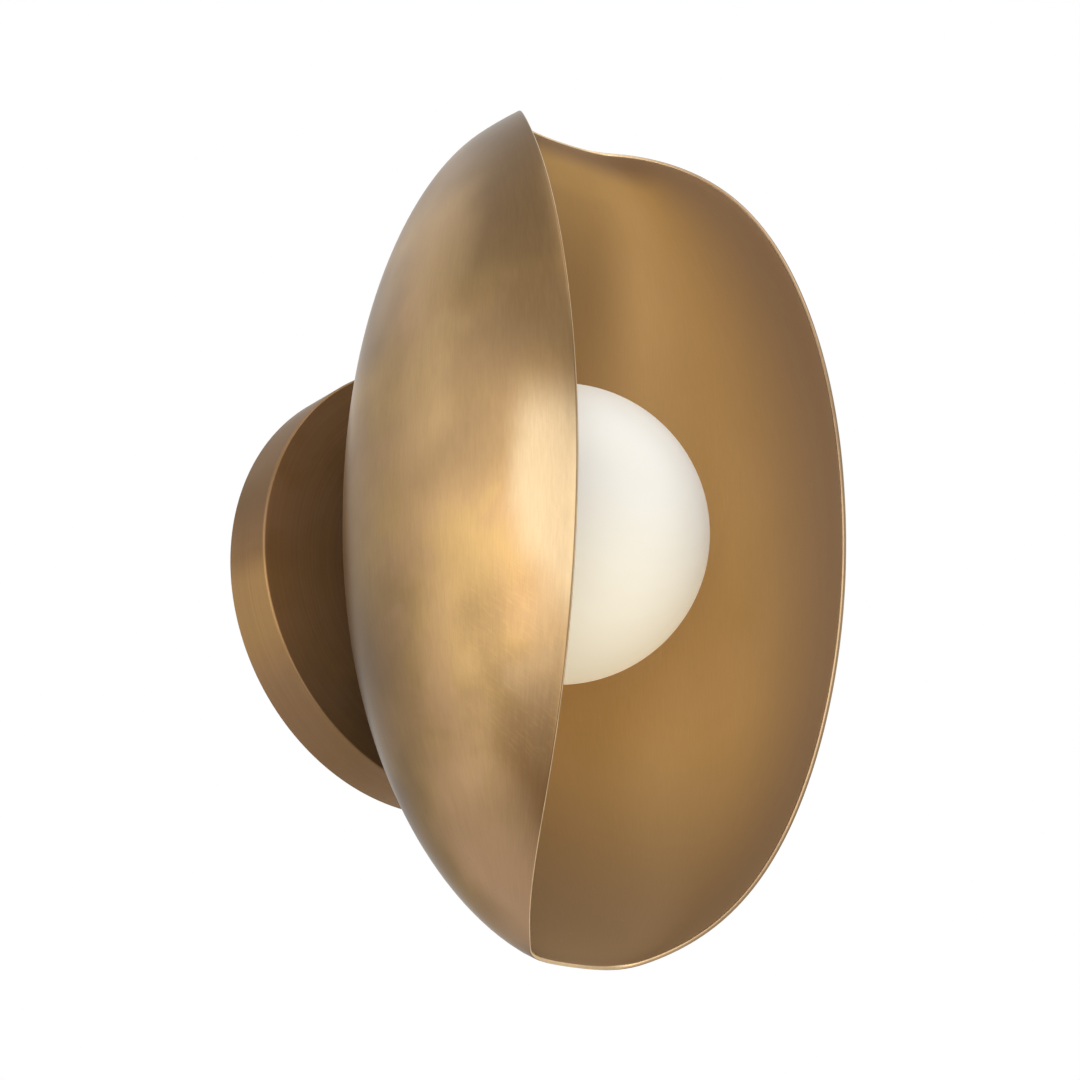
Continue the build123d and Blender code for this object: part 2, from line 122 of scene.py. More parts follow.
def makeWorld(values):
    world = bpy.data.worlds.new("studioWorld")
    scene.world = world
    world.use_nodes = True
    world.cycles.sampling_method = "NONE"
    tree = world.node_tree
    tree.nodes.clear()
    path = tree.nodes.new("ShaderNodeLightPath")
    shades = []
    for strength in (values["ambient"], 1.0):
        background = tree.nodes.new("ShaderNodeBackground")
        background.inputs["Color"].default_value = (1, 1, 1, 1)
        background.inputs["Strength"].default_value = strength
        shades.append(background.outputs[0])
    mixed = mixSeen(tree, path, path.outputs["Is Camera Ray"], *shades)
    output = tree.nodes.new("ShaderNodeOutputWorld")
    tree.links.new(mixed, output.inputs["Surface"])


def makeLamps(values):
    for name, lamp in values["lamps"].items():
        data = bpy.data.lights.new(name, "AREA")
        data.shape = "RECTANGLE"
        data.size, data.size_y = lamp["size"]
        data.energy = lamp["power"]
        data.color = lamp.get("colour", (1, 1, 1))
        holder = bpy.data.objects.new(name, data)
        scene.collection.objects.link(holder)
        holder.location = lamp["place"]
        toward = values["lampAim"] - Vector(lamp["place"])
        holder.rotation_euler = toward.to_track_quat("-Z", "Y").to_euler()
        holder.visible_camera = False


makeWorld(studio)
makeLamps(studio)
print("studio lit:", len(studio["lamps"]), "lamps")


# helpers for pieces
def plainMesh(piece):
    # the evaluated shape becomes the piece's own mesh, with no modifier left
    graph = bpy.context.evaluated_depsgraph_get()
    made = bpy.data.meshes.new_from_object(piece.evaluated_get(graph), depsgraph=graph)
    made.name = piece.name
    piece.modifiers.clear()
    piece.data = made
    return made


def newPiece(name, mesh=None):
    piece = bpy.data.objects.new(name, mesh or bpy.data.meshes.new(name))
    scene.collection.objects.link(piece)
    return piece


# shader groups
def newGroup(name, inputs, outputs):
    group = bpy.data.node_groups.new(name, "ShaderNodeTree")
    for label, kind in inputs.items():
        group.interface.new_socket(label, in_out="INPUT", socket_type=kind)
    for label in outputs:
        group.interface.new_socket(label, in_out="OUTPUT", socket_type="NodeSocketFloat")
    return group, group.nodes.new("NodeGroupInput"), group.nodes.new("NodeGroupOutput")


def noiseIn(tree, vector, scale, detail, roughness=0.5, distortion=0.0):
    node = tree.nodes.new("ShaderNodeTexNoise")
    tree.links.new(vector, node.inputs["Vector"])
    give(tree, node.inputs["Scale"], scale)
    node.inputs["Detail"].default_value = detail
    node.inputs["Roughness"].default_value = roughness
    node.inputs["Distortion"].default_value = distortion
    return node.outputs["Fac"]


def rangeIn(tree, value, low, high, newLow=0.0, newHigh=1.0):
    node = tree.nodes.new("ShaderNodeMapRange")
    node.interpolation_type = "SMOOTHSTEP"
    tree.links.new(value, node.inputs["Value"])
    ends = {"From Min": low, "From Max": high, "To Min": newLow, "To Max": newHigh}
    for label, end in ends.items():
        give(tree, node.inputs[label], end)
    return node.outputs["Result"]


hairlines = {
    "shares": (1.0, 0.33),  # fine lines, and wider ones under them
    "weights": (0.6, 0.4),
    "detail": 3.0,
    "roughness": 0.6,
}


def makeBrushGrain(values):
    # hairlines left by brushing: long along Y of the vector, fine along X
    group, given, result = newGroup(
        "brushGrain",
        {"Vector": "NodeSocketVector", "Across": "NodeSocketFloat", "Along": "NodeSocketFloat"},
        ["Hairline", "Sweep"],
    )
    calc = calcIn(group)
    link = group.links.new
    parts = group.nodes.new("ShaderNodeSeparateXYZ")
    link(given.outputs["Vector"], parts.inputs[0])
    layers = []
    for share in values["shares"]:
        across = calc("MULTIPLY", given.outputs["Across"], share)
        along = calc("MULTIPLY", given.outputs["Along"], share)
        place = group.nodes.new("ShaderNodeCombineXYZ")
        for part, scale, socket in zip(parts.outputs, (across, along, across), place.inputs):
            link(calc("MULTIPLY", part, scale), socket)
        layers.append(noiseIn(group, place.outputs[0], 1.0, values["detail"], values["roughness"]))
    fine, wide = (calc("MULTIPLY", *pair) for pair in zip(layers, values["weights"]))
    link(calc("ADD", fine, wide), result.inputs["Hairline"])
    link(layers[1], result.inputs["Sweep"])
    return group


tarnish = {
    # each layer: how much finer than the clouds, detail, roughness, distortion
    "wide": (1.0, 2.0, 0.45, 0.5),
    "small": (5.0, 5.0, 0.6, 0.3),
    "speck": (45.0, 2.0, 0.5, 0.0),
    "tint": (2.6, 3.0, 0.55, 0.4),
    "wideWeight": 0.86,
    "smallWeight": 0.14,
    "tintShift": (3.7, 1.9, 5.3),
    "ranges": {"Cloud": (0.32, 0.68), "Speck": (0.66, 0.78), "Tint": (0.38, 0.62)},
}


def makeCloudPatina(values):
    # soft uneven tarnish, with small darker specks and a change of hue
    group, given, result = newGroup(
        "cloudPatina",
        {"Vector": "NodeSocketVector", "Scale": "NodeSocketFloat"},
        ["Cloud", "Speck", "Tint"],
    )
    calc = calcIn(group)
    place = given.outputs["Vector"]

    def layer(name, vector):
        finer, detail, roughness, distortion = values[name]
        scale = calc("MULTIPLY", given.outputs["Scale"], finer)
        return noiseIn(group, vector, scale, detail, roughness, distortion)

    wide = calc("MULTIPLY", layer("wide", place), values["wideWeight"])
    small = calc("MULTIPLY", layer("small", place), values["smallWeight"])
    shift = group.nodes.new("ShaderNodeVectorMath")
    shift.operation = "ADD"
    shift.inputs[1].default_value = values["tintShift"]
    group.links.new(place, shift.inputs[0])
    found = {
        "Cloud": calc("ADD", wide, small),
        "Speck": layer("speck", place),
        "Tint": layer("tint", shift.outputs[0]),
    }
    for label, value in found.items():
        group.links.new(rangeIn(group, value, *values["ranges"][label]), result.inputs[label])
    return group


brushGrain = makeBrushGrain(hairlines)
cloudPatina = makeCloudPatina(tarnish)
print("shader groups made")


# materials
class Finish:
    def __init__(self, name, metallic, roughness):
        self.material = bpy.data.materials.new(name)
        self.material.use_nodes = True
        self.tree = self.material.node_tree
        self.shader = self.tree.nodes["Principled BSDF"]
        self.set("Metallic", metallic)
        self.set("Roughness", roughness)
        self.calc = calcIn(self.tree)

    def set(self, label, value):
        self.shader.inputs[label].default_value = value

    def feed(self, label, source):
        self.tree.links.new(source, self.shader.inputs[label])

    def place(self):
        return self.tree.nodes.new("ShaderNodeTexCoord").outputs["Object"]

    def group(self, group, **values):
        node = self.tree.nodes.new("ShaderNodeGroup")
        node.node_tree = group
        for label, value in values.items():
            give(self.tree, node.inputs[label], value)
        return node.outputs

    def blend(self, amount, first, second):
        node = self.tree.nodes.new("ShaderNodeMix")
        node.data_type = "RGBA"
        self.tree.links.new(amount, node.inputs[0])
        for socket, colour in ((node.inputs[6], first), (node.inputs[7], second)):
            if isinstance(colour, tuple):
                socket.default_value = (*colour, 1)
            else:
                self.tree.links.new(colour, socket)
        return node.outputs[2]

    def zone(self, place, values):
        # share of a tone that grows from none to full along each axis (0, 1 and 2 are X, Y and Z),
        # or towards the cut edge
        parts = self.tree.nodes.new("ShaderNodeSeparateXYZ")
        self.tree.links.new(place, parts.inputs[0])
        share = values["share"]
        for axis, start, end in values["along"]:
            if axis == "rimNear":
                near = self.tree.nodes.new("ShaderNodeAttribute")
                near.attribute_name = axis
                level = near.outputs["Fac"]
            else:
                level = parts.outputs[axis]
            share = self.calc("MULTIPLY", rangeIn(self.tree, level, start, end), share)
        return share

    def ragged(self, place, values):
        # the place wanders a little, so that borders set by it come out uneven
        noise = self.tree.nodes.new("ShaderNodeTexNoise")
        noise.inputs["Scale"].default_value = values["scale"]
        noise.inputs["Detail"].default_value = values["detail"]
        self.tree.links.new(place, noise.inputs["Vector"])
        wander = self.tree.nodes.new("ShaderNodeVectorMath")
        wander.operation = "MULTIPLY_ADD"
        self.tree.links.new(noise.outputs["Color"], wander.inputs[0])
        wander.inputs[1].default_value = (values["reach"],) * 3
        self.tree.links.new(place, wander.inputs[2])
        centred = self.tree.nodes.new("ShaderNodeVectorMath")
        centred.operation = "SUBTRACT"
        self.tree.links.new(wander.outputs[0], centred.inputs[0])
        centred.inputs[1].default_value = (values["reach"] / 2,) * 3
        return centred.outputs[0]

    def bump(self, height, depth):
        node = self.tree.nodes.new("ShaderNodeBump")
        node.inputs["Distance"].default_value = depth
        self.tree.links.new(height, node.inputs["Height"])
        self.feed("Normal", node.outputs[0])


brassDefaults = {
    "zones": {},
    "lineRange": (0.3, 0.7),  # hairlines below the range are darkest
    "strokeRange": (0.50, 0.62),  # slanted strokes above the range are palest
    "cloudGloss": 0.05,  # paler clouds are smoother
    "lacquerRoughness": 0.32,
    "wax": 0.5,
    "edgeTint": (1, 1, 1),  # gloss seen at a low angle
}


def brassFinish(name, given, vector=None):
    # patinated brass: tarnish clouds under hairlines, duller where it is darker
    values = {**brassDefaults, **given}
    finish = Finish(name, values["metallic"], values["roughness"])
    calc = finish.calc
    place = finish.place()
    cloud = finish.group(cloudPatina, Vector=place, Scale=values["cloudScale"])
    lines = finish.group(
        brushGrain, Vector=vector(finish) if vector else place,
        Across=values["across"], Along=values["along"],
    )
    tone = finish.blend(cloud["Cloud"], values["dark"], values["light"])
    rosy = calc("MULTIPLY", cloud["Tint"], values["rosyShare"])
    tone = finish.blend(rosy, tone, values["rosy"])
    uneven = finish.ragged(place, values["ragged"]) if "ragged" in values else place
    # zones of another tone; most of them are painted shade or painted highlights
    for zone in values["zones"].values():
        tone = finish.blend(finish.zone(uneven, zone), tone, zone["tone"])
    streak = rangeIn(
        finish.tree, lines["Hairline"], *values["lineRange"], newLow=1 - values["streak"]
    )
    lined = finish.tree.nodes.new("ShaderNodeMix")
    lined.data_type = "RGBA"
    lined.blend_type = "MULTIPLY"
    lined.inputs[0].default_value = 1.0
    finish.tree.links.new(tone, lined.inputs[6])
    finish.tree.links.new(streak, lined.inputs[7])
    tone = lined.outputs[2]
    if "slantRubs" in values:  # a patch with fine pale strokes at a slant
        rubs = values["slantRubs"]
        slant = finish.tree.nodes.new("ShaderNodeMapping")
        slant.inputs["Rotation"].default_value[2] = rubs["turn"]
        finish.tree.links.new(vector(finish), slant.inputs["Vector"])
        strokes = finish.group(
            brushGrain, Vector=slant.outputs[0], Across=rubs["across"], Along=rubs["lengthwise"]
        )
        pale = rangeIn(finish.tree, strokes["Hairline"], *values["strokeRange"])
        share = calc("MULTIPLY", finish.zone(place, rubs), pale)
        tone = finish.blend(share, tone, values["light"])
    speck = calc("MULTIPLY", cloud["Speck"], values["speck"])
    finish.feed("Base Color", finish.blend(speck, tone, values["dark"]))
    smoothest = values["roughness"] - values["roughSweep"] / 2
    rough = calc("MULTIPLY_ADD", lines["Sweep"], values["roughSweep"], smoothest)
    gloss = calc("MULTIPLY", cloud["Cloud"], values["cloudGloss"])
    finish.feed("Roughness", calc("SUBTRACT", rough, gloss))
    finish.bump(lines["Hairline"], values["lineDepth"])
    if "lacquer" in values:
        finish.set("Coat Weight", values["lacquer"])
        finish.set("Coat Roughness", values["lacquerRoughness"])
    finish.set("Specular IOR Level", values["wax"])
    finish.set("Specular Tint", (*values["edgeTint"], 1))
    if "glossDrawn" in values:  # gloss drawn out across the hairlines
        finish.set("Anisotropic", values["glossDrawn"])
        tangent = finish.tree.nodes.new("ShaderNodeTangent")
        tangent.direction_type = "UV_MAP"
        tangent.uv_map = "brushMap"
        finish.feed("Tangent", tangent.outputs[0])
    return finish.material


def shadeVector(finish):
    # brushing that follows the sheet from tip to tip
    node = finish.tree.nodes.new("ShaderNodeUVMap")
    node.uv_map = "brushMap"
    return node.outputs[0]


def turnedVector(finish):
    # brushing that runs round the canopy's axis, without a seam
    reach = 0.08  # metres, about the canopy's radius
    parts = finish.tree.nodes.new("ShaderNodeSeparateXYZ")
    finish.tree.links.new(finish.place(), parts.inputs[0])
    x, y, z = parts.outputs
    calc = finish.calc
    radius = calc("SQRT", calc("ADD", calc("MULTIPLY", x, x), calc("MULTIPLY", z, z)))
    angle = calc("ARCTAN2", z, x)
    place = finish.tree.nodes.new("ShaderNodeCombineXYZ")
    finish.tree.links.new(radius, place.inputs[0])
    finish.tree.links.new(calc("MULTIPLY", calc("COSINE", angle), reach), place.inputs[1])
    finish.tree.links.new(y, place.inputs[2])
    return place.outputs[0]


brassOutside = {
    "metallic": 1.0, "roughness": 0.36,
    "dark": (0.205, 0.126, 0.052), "light": (0.335, 0.212, 0.083),
    "rosy": (0.28, 0.166, 0.088), "rosyShare": 0.45, "lacquer": 0.1,
    "ragged": {"reach": 0.022, "scale": 34.0, "detail": 1.5},
    "zones": {
        # darker and more orange towards the cut edge
        "rimDarker": {"along": [("rimNear", 0.90, 1.0)], "share": 0.45,
                      "tone": (0.20, 0.105, 0.04)},
        # painted shade: the upper front of the outside darker, standing in for a darker reflection
        # from above
        "topPaintedShade": {"along": [(2, 0.02, 0.085), (1, -0.06, -0.11)], "share": 0.8,
                       "tone": (0.145, 0.086, 0.036)},
        # painted shade: dims the lamp's reflection across the upper front of the lobe
        "cheekPaintedShade": {"along": [(2, -0.03, 0.0), (2, 0.055, 0.03), (1, -0.10, -0.118)],
                         "share": 0.55, "tone": (0.15, 0.095, 0.045)},
        # painted shade: the lower back darker, where the lobe would mirror dark surroundings
        "lowBackPaintedShade": {"along": [(2, 0.010, -0.070), (1, -0.100, -0.055)], "share": 0.9,
                           "tone": (0.09, 0.055, 0.028)},
        # painted shade: the upper back darker next to the contour, beside the painted highlight
        "upperBackPaintedShade": {"along": [(2, 0.030, 0.050), (2, 0.086, 0.070), (1, -0.096, -0.082)],
                             "share": 0.5, "tone": (0.10, 0.060, 0.026)},
        # painted highlight: a paler band standing in for a lamp's reflection on the upper side
        "upperSidePaintedHighlight": {"along": [(2, -0.008, 0.014), (2, 0.098, 0.084), (1, -0.088, -0.104),
                                     (1, -0.124, -0.110)],
                           "share": 0.5, "tone": (0.345, 0.226, 0.104)},
        # painted shade: dims the highlight where it runs too low on the front
        "lowFrontPaintedShade": {"along": [(2, -0.034, -0.050), (2, -0.078, -0.066), (1, -0.114, -0.124),
                                     (1, -0.137, -0.130)],
                           "share": 0.35, "tone": (0.16, 0.095, 0.040)},
        # painted highlight: a paler band low on the front, standing in for the reflection of a tall
        # light
        "lowFrontPaintedHighlight": {"along": [(2, -0.062, -0.074), (2, -0.106, -0.092), (1, -0.123, -0.133)],
                          "share": 0.55, "tone": (0.345, 0.228, 0.118)},
        # darker and more orange near the lower rim
        "lowRimDarker": {"along": [(2, -0.07, -0.10), (1, -0.116, -0.128)], "share": 0.6,
                         "tone": (0.16, 0.080, 0.028)},
        # painted reflection: the lower tip paler, as if it mirrored a bright floor
        "lowTipPaintedHighlight": {"along": [(2, -0.08, -0.125), (1, -0.083, -0.098), (1, -0.128, -0.108)],
                        "share": 0.8, "tone": (0.45, 0.275, 0.152)},
        # painted highlight: a paler patch round the lamp's highlight at the front
        "frontPaintedHighlight": {"along": [(2, -0.080, -0.045), (2, 0.025, -0.005), (1, -0.135, -0.147)],
                        "share": 0.9, "tone": (0.33, 0.243, 0.140)},
    },
    "roughSweep": 0.05, "cloudScale": 17.0, "across": 3000.0, "along": 160.0,
    "streak": 0.12, "speck": 0.20, "lineDepth": 0.000008, "glossDrawn": 0.4,
    "slantRubs": {"turn": math.radians(38), "across": 2300.0, "lengthwise": 260.0, "share": 0.24,
                  "along": [(2, -0.022, -0.048), (2, -0.105, -0.085), (1, -0.106, -0.126)]},
}
brassInside = {
    "metallic": 0.25, "roughness": 0.72,
    "dark": (0.525, 0.324, 0.113), "light": (0.59, 0.370, 0.136),
    "rosy": (0.59, 0.36, 0.155), "rosyShare": 0.3,
    "zones": {
        # painted shade: the inside darker towards the rim
        "rimDarker": {"along": [("rimNear", 0.66, 0.97)], "share": 0.95,
                      "tone": (0.30, 0.19, 0.105)},
        # painted shade: the inside darker towards the lower tip
        "lowTipPaintedShade": {"along": [(2, -0.045, -0.128)], "share": 0.9, "tone": (0.27, 0.172, 0.088)},
        # painted shade: the upper back wall inside darker, away from the rim
        "insideBackPaintedShade": {"along": [("rimNear", 0.48, 0.26), (2, 0.040, 0.098), (2, 0.145, 0.100)],
                      "share": 0.75, "tone": (0.33, 0.205, 0.08)},
    },
    "roughSweep": 0.06, "cloudScale": 9.0, "across": 3000.0, "along": 160.0,
    "streak": 0.07, "speck": 0.10, "lineDepth": 0.000006,
}
brassEdge = {
    "metallic": 1.0, "roughness": 0.34,
    "dark": (0.60, 0.43, 0.24), "light": (0.80, 0.61, 0.37),
    "rosy": (0.66, 0.45, 0.25), "rosyShare": 0.4,
    "zones": {
        # painted shade: the right side of the cut edge darker, where it would reflect the dark
        # inside
        "rightEdgePaintedShade": {"along": [(0, 0.005, 0.040)], "share": 0.9, "tone": (0.25, 0.165, 0.095)},
    },
    "roughSweep": 0.10, "cloudScale": 60.0, "across": 900.0, "along": 900.0,
    "streak": 0.12, "speck": 0.10, "lineDepth": 0.000010,
}
brassCanopy = {
    "metallic": 0.6, "roughness": 0.38, "wax": 0.1, "edgeTint": (0.88, 0.74, 0.62),
    "dark": (0.19, 0.107, 0.046), "light": (0.26, 0.149, 0.065),
    "rosy": (0.225, 0.130, 0.068), "rosyShare": 0.6,
    "zones": {
        # painted shade: the canopy darker low down
        "lowSidePaintedShade": {"along": [(2, -0.035, -0.072)], "share": 0.4, "tone": (0.10, 0.055, 0.024)},
        # painted shade: the canopy's side darker high up
        "upperSidePaintedShade": {"along": [(2, -0.013, 0.026), (1, -0.0207, -0.0195)], "share": 0.9,
                      "tone": (0.09, 0.050, 0.022)},
        # painted highlight: the rolled front edge paler and warmer at middle height
        "edgePaintedHighlight": {"along": [(2, -0.046, -0.026), (2, -0.002, -0.014), (1, -0.0212, -0.0203)],
                     "share": 1.0, "tone": (0.285, 0.166, 0.066)},
    },
    "roughSweep": 0.10, "cloudScale": 18.0, "across": 2600.0, "along": 30.0,
    "streak": 0.14, "speck": 0.25, "lineDepth": 0.000010,
}
brassTurned = {
    "metallic": 1.0, "roughness": 0.26,
    "dark": (0.50, 0.34, 0.15), "light": (0.64, 0.47, 0.24),
    "rosy": (0.58, 0.38, 0.20), "rosyShare": 0.3,
    "roughSweep": 0.10, "cloudScale": 30.0, "across": 5000.0, "along": 20.0,
    "streak": 0.12, "speck": 0.10, "lineDepth": 0.000010,
}
shadeOutside = brassFinish("shadeBrassOutside", brassOutside, shadeVector)
shadeInside = brassFinish("shadeBrassInside", brassInside, shadeVector)
shadeEdge = brassFinish("shadeCutEdge", brassEdge)
canopyBrass = brassFinish("canopyBrass", brassCanopy, turnedVector)
turnedBrass = brassFinish("turnedBrass", brassTurned, turnedVector)


workDefaults = {
    "metallic": 0.0, "cloudScale": 60.0, "speck": 0.3, "roughSpread": 0.1,
    "grain": 1800.0, "grainDetail": 3.0, "grainRoughness": 0.6, "grainDepth": 0.00002,
    "subsurface": {},
}


def workFinish(name, given):
    # plated steel, plastics, ceramic, glass: a cloudy tone, fine grain and matching roughness
    values = {**workDefaults, **given}
    finish = Finish(name, values["metallic"], values["roughness"])
    calc = finish.calc
    place = finish.place()
    cloud = finish.group(cloudPatina, Vector=place, Scale=values["cloudScale"])
    tone = finish.blend(cloud["Cloud"], values["dark"], values["light"])
    speck = calc("MULTIPLY", cloud["Speck"], values["speck"])
    finish.feed("Base Color", finish.blend(speck, tone, values["dark"]))
    spread = values["roughSpread"]
    roughest = values["roughness"] + spread / 2
    finish.feed("Roughness", calc("MULTIPLY_ADD", cloud["Cloud"], -spread, roughest))
    grain = noiseIn(
        finish.tree, place, values["grain"], values["grainDetail"], values["grainRoughness"]
    )
    finish.bump(grain, values["grainDepth"])
    if "glow" in values:  # painted glow: the globe gives off light though no lamp is lit, warmer below as if lit by the brass
        below = values["glowBelow"]
        glow = finish.blend(finish.zone(place, below), values["glow"], below["tone"])
        finish.feed("Emission Color", glow)
        finish.set("Emission Strength", 1.0)
    for label, value in values["subsurface"].items():
        finish.set("Subsurface " + label, value)
    return finish.material


workFinishes = {
    "zinc_steel": {"dark": (0.42, 0.42, 0.41), "light": (0.60, 0.60, 0.58), "metallic": 1.0,
                   "roughness": 0.36, "cloudScale": 90.0},
    "tinned_copper": {"dark": (0.55, 0.54, 0.51), "light": (0.70, 0.69, 0.66), "metallic": 1.0,
                      "roughness": 0.30, "cloudScale": 150.0},
    "green_steel": {"dark": (0.02, 0.20, 0.07), "light": (0.05, 0.34, 0.13), "metallic": 0.6,
                    "roughness": 0.35, "cloudScale": 200.0},
    "white_ceramic": {"dark": (0.74, 0.73, 0.69), "light": (0.86, 0.85, 0.82), "roughness": 0.62,
                      "grainDepth": 0.00004},
    "black_plastic": {"dark": (0.018, 0.018, 0.02), "light": (0.04, 0.04, 0.045), "roughness": 0.5},
    "orange_plastic": {"dark": (0.66, 0.17, 0.02), "light": (0.80, 0.26, 0.03), "roughness": 0.42,
                       "grainDepth": 0.00003},
    "black_sleeve": {"dark": (0.012, 0.012, 0.013), "light": (0.03, 0.03, 0.032), "roughness": 0.4},
    "white_sleeve": {"dark": (0.66, 0.66, 0.62), "light": (0.80, 0.80, 0.76), "roughness": 0.42},
    "green_sleeve": {"dark": (0.03, 0.22, 0.06), "light": (0.06, 0.34, 0.10), "roughness": 0.42},
    "silicone": {"dark": (0.70, 0.69, 0.66), "light": (0.80, 0.79, 0.76), "roughness": 0.6},
    "bulb_plastic": {"dark": (0.82, 0.82, 0.79), "light": (0.88, 0.88, 0.86), "roughness": 0.45},
}
slotFinish = {name: workFinish(name, values) for name, values in workFinishes.items()}
slotFinish["aged_brass"] = canopyBrass
slotFinish["turned_brass"] = turnedBrass

opalGlass = {
    "dark": (0.62, 0.605, 0.56), "light": (0.64, 0.63, 0.60), "roughness": 0.42,
    "cloudScale": 22.0, "grain": 900.0, "grainDepth": 0.000006, "roughSpread": 0.06,
    # painted glow, warmer low down
    "glow": (0.25, 0.24, 0.215),
    "glowBelow": {"along": [(2, 0.005, -0.045)], "share": 1.0, "tone": (0.42, 0.365, 0.24)},
    "subsurface": {"Weight": 0.6, "Radius": (1.0, 0.95, 0.85), "Scale": 0.004},
}
slotFinish["opal_glass"] = workFinish("opalGlass", opalGlass)
print("finishes made:", len(bpy.data.materials))

# shade: a pressed sheet whose every level follows one rule, cut to an elliptical rim
shadeSizes = {
    "Half Width": 0.0757,
    "Back Depth": 0.0303,
    "Back Drop": 0.0502,
    "Widest Depth": 0.0880,
    "Back Fullness": 0.711,
    "Front Length": 0.0947,
    "Front Drop": 0.0423,
    "Side Margin": 0.0015,
    "Side Power": 2.243,
    "Rim Half Height": 0.1420,
    "Rim Centre Depth": 0.0734,
    "Rim Length": 0.0824,
    "Seat Depth": 0.0321,
    "Seat Radius": 0.0250,
    "Seat Blend": 0.0030,
    "Centre Hole": 0.0357,  # share of the way from the middle to the rim
    "Rings": 96,
    "Spokes": 288,
}
shadeSheet = {
    "wall": 0.0015,
    "edgeRounding": 0.00060,
    "edgeSegments": 3,
    "edgeAngle": math.radians(50),
    "backSpread": 2.6,  # power that draws the spokes towards the back
    "brushSpan": 0.18,  # metres from the middle of the back to the rim
    "lipSteepness": 8.0,  # how fast the darker tone near the rim sets in towards the tips
    "seam": 1e-6,
    "backFrom": -0.05,  # faces behind this depth look outwards to the wall
}


def shadeBackRadius(sizes):
    return (sizes["Rim Half Height"] ** 2 + sizes["Back Drop"] ** 2) / (2 * sizes["Back Drop"])


def shadeTip(sizes):
    # height at which the back meets the rim, by halving
    radius = shadeBackRadius(sizes)
    low, high = 0.0, sizes["Rim Half Height"]
    for _ in range(60):
        level = (low + high) / 2
        back = sizes["Back Depth"] + radius - math.sqrt(radius**2 - level**2)
        rise = level / sizes["Rim Half Height"]
        rim = sizes["Rim Centre Depth"] + sizes["Rim Length"] * math.sqrt(max(0, 1 - rise**2))
        low, high = (level, high) if rim > back else (low, level)
    return low


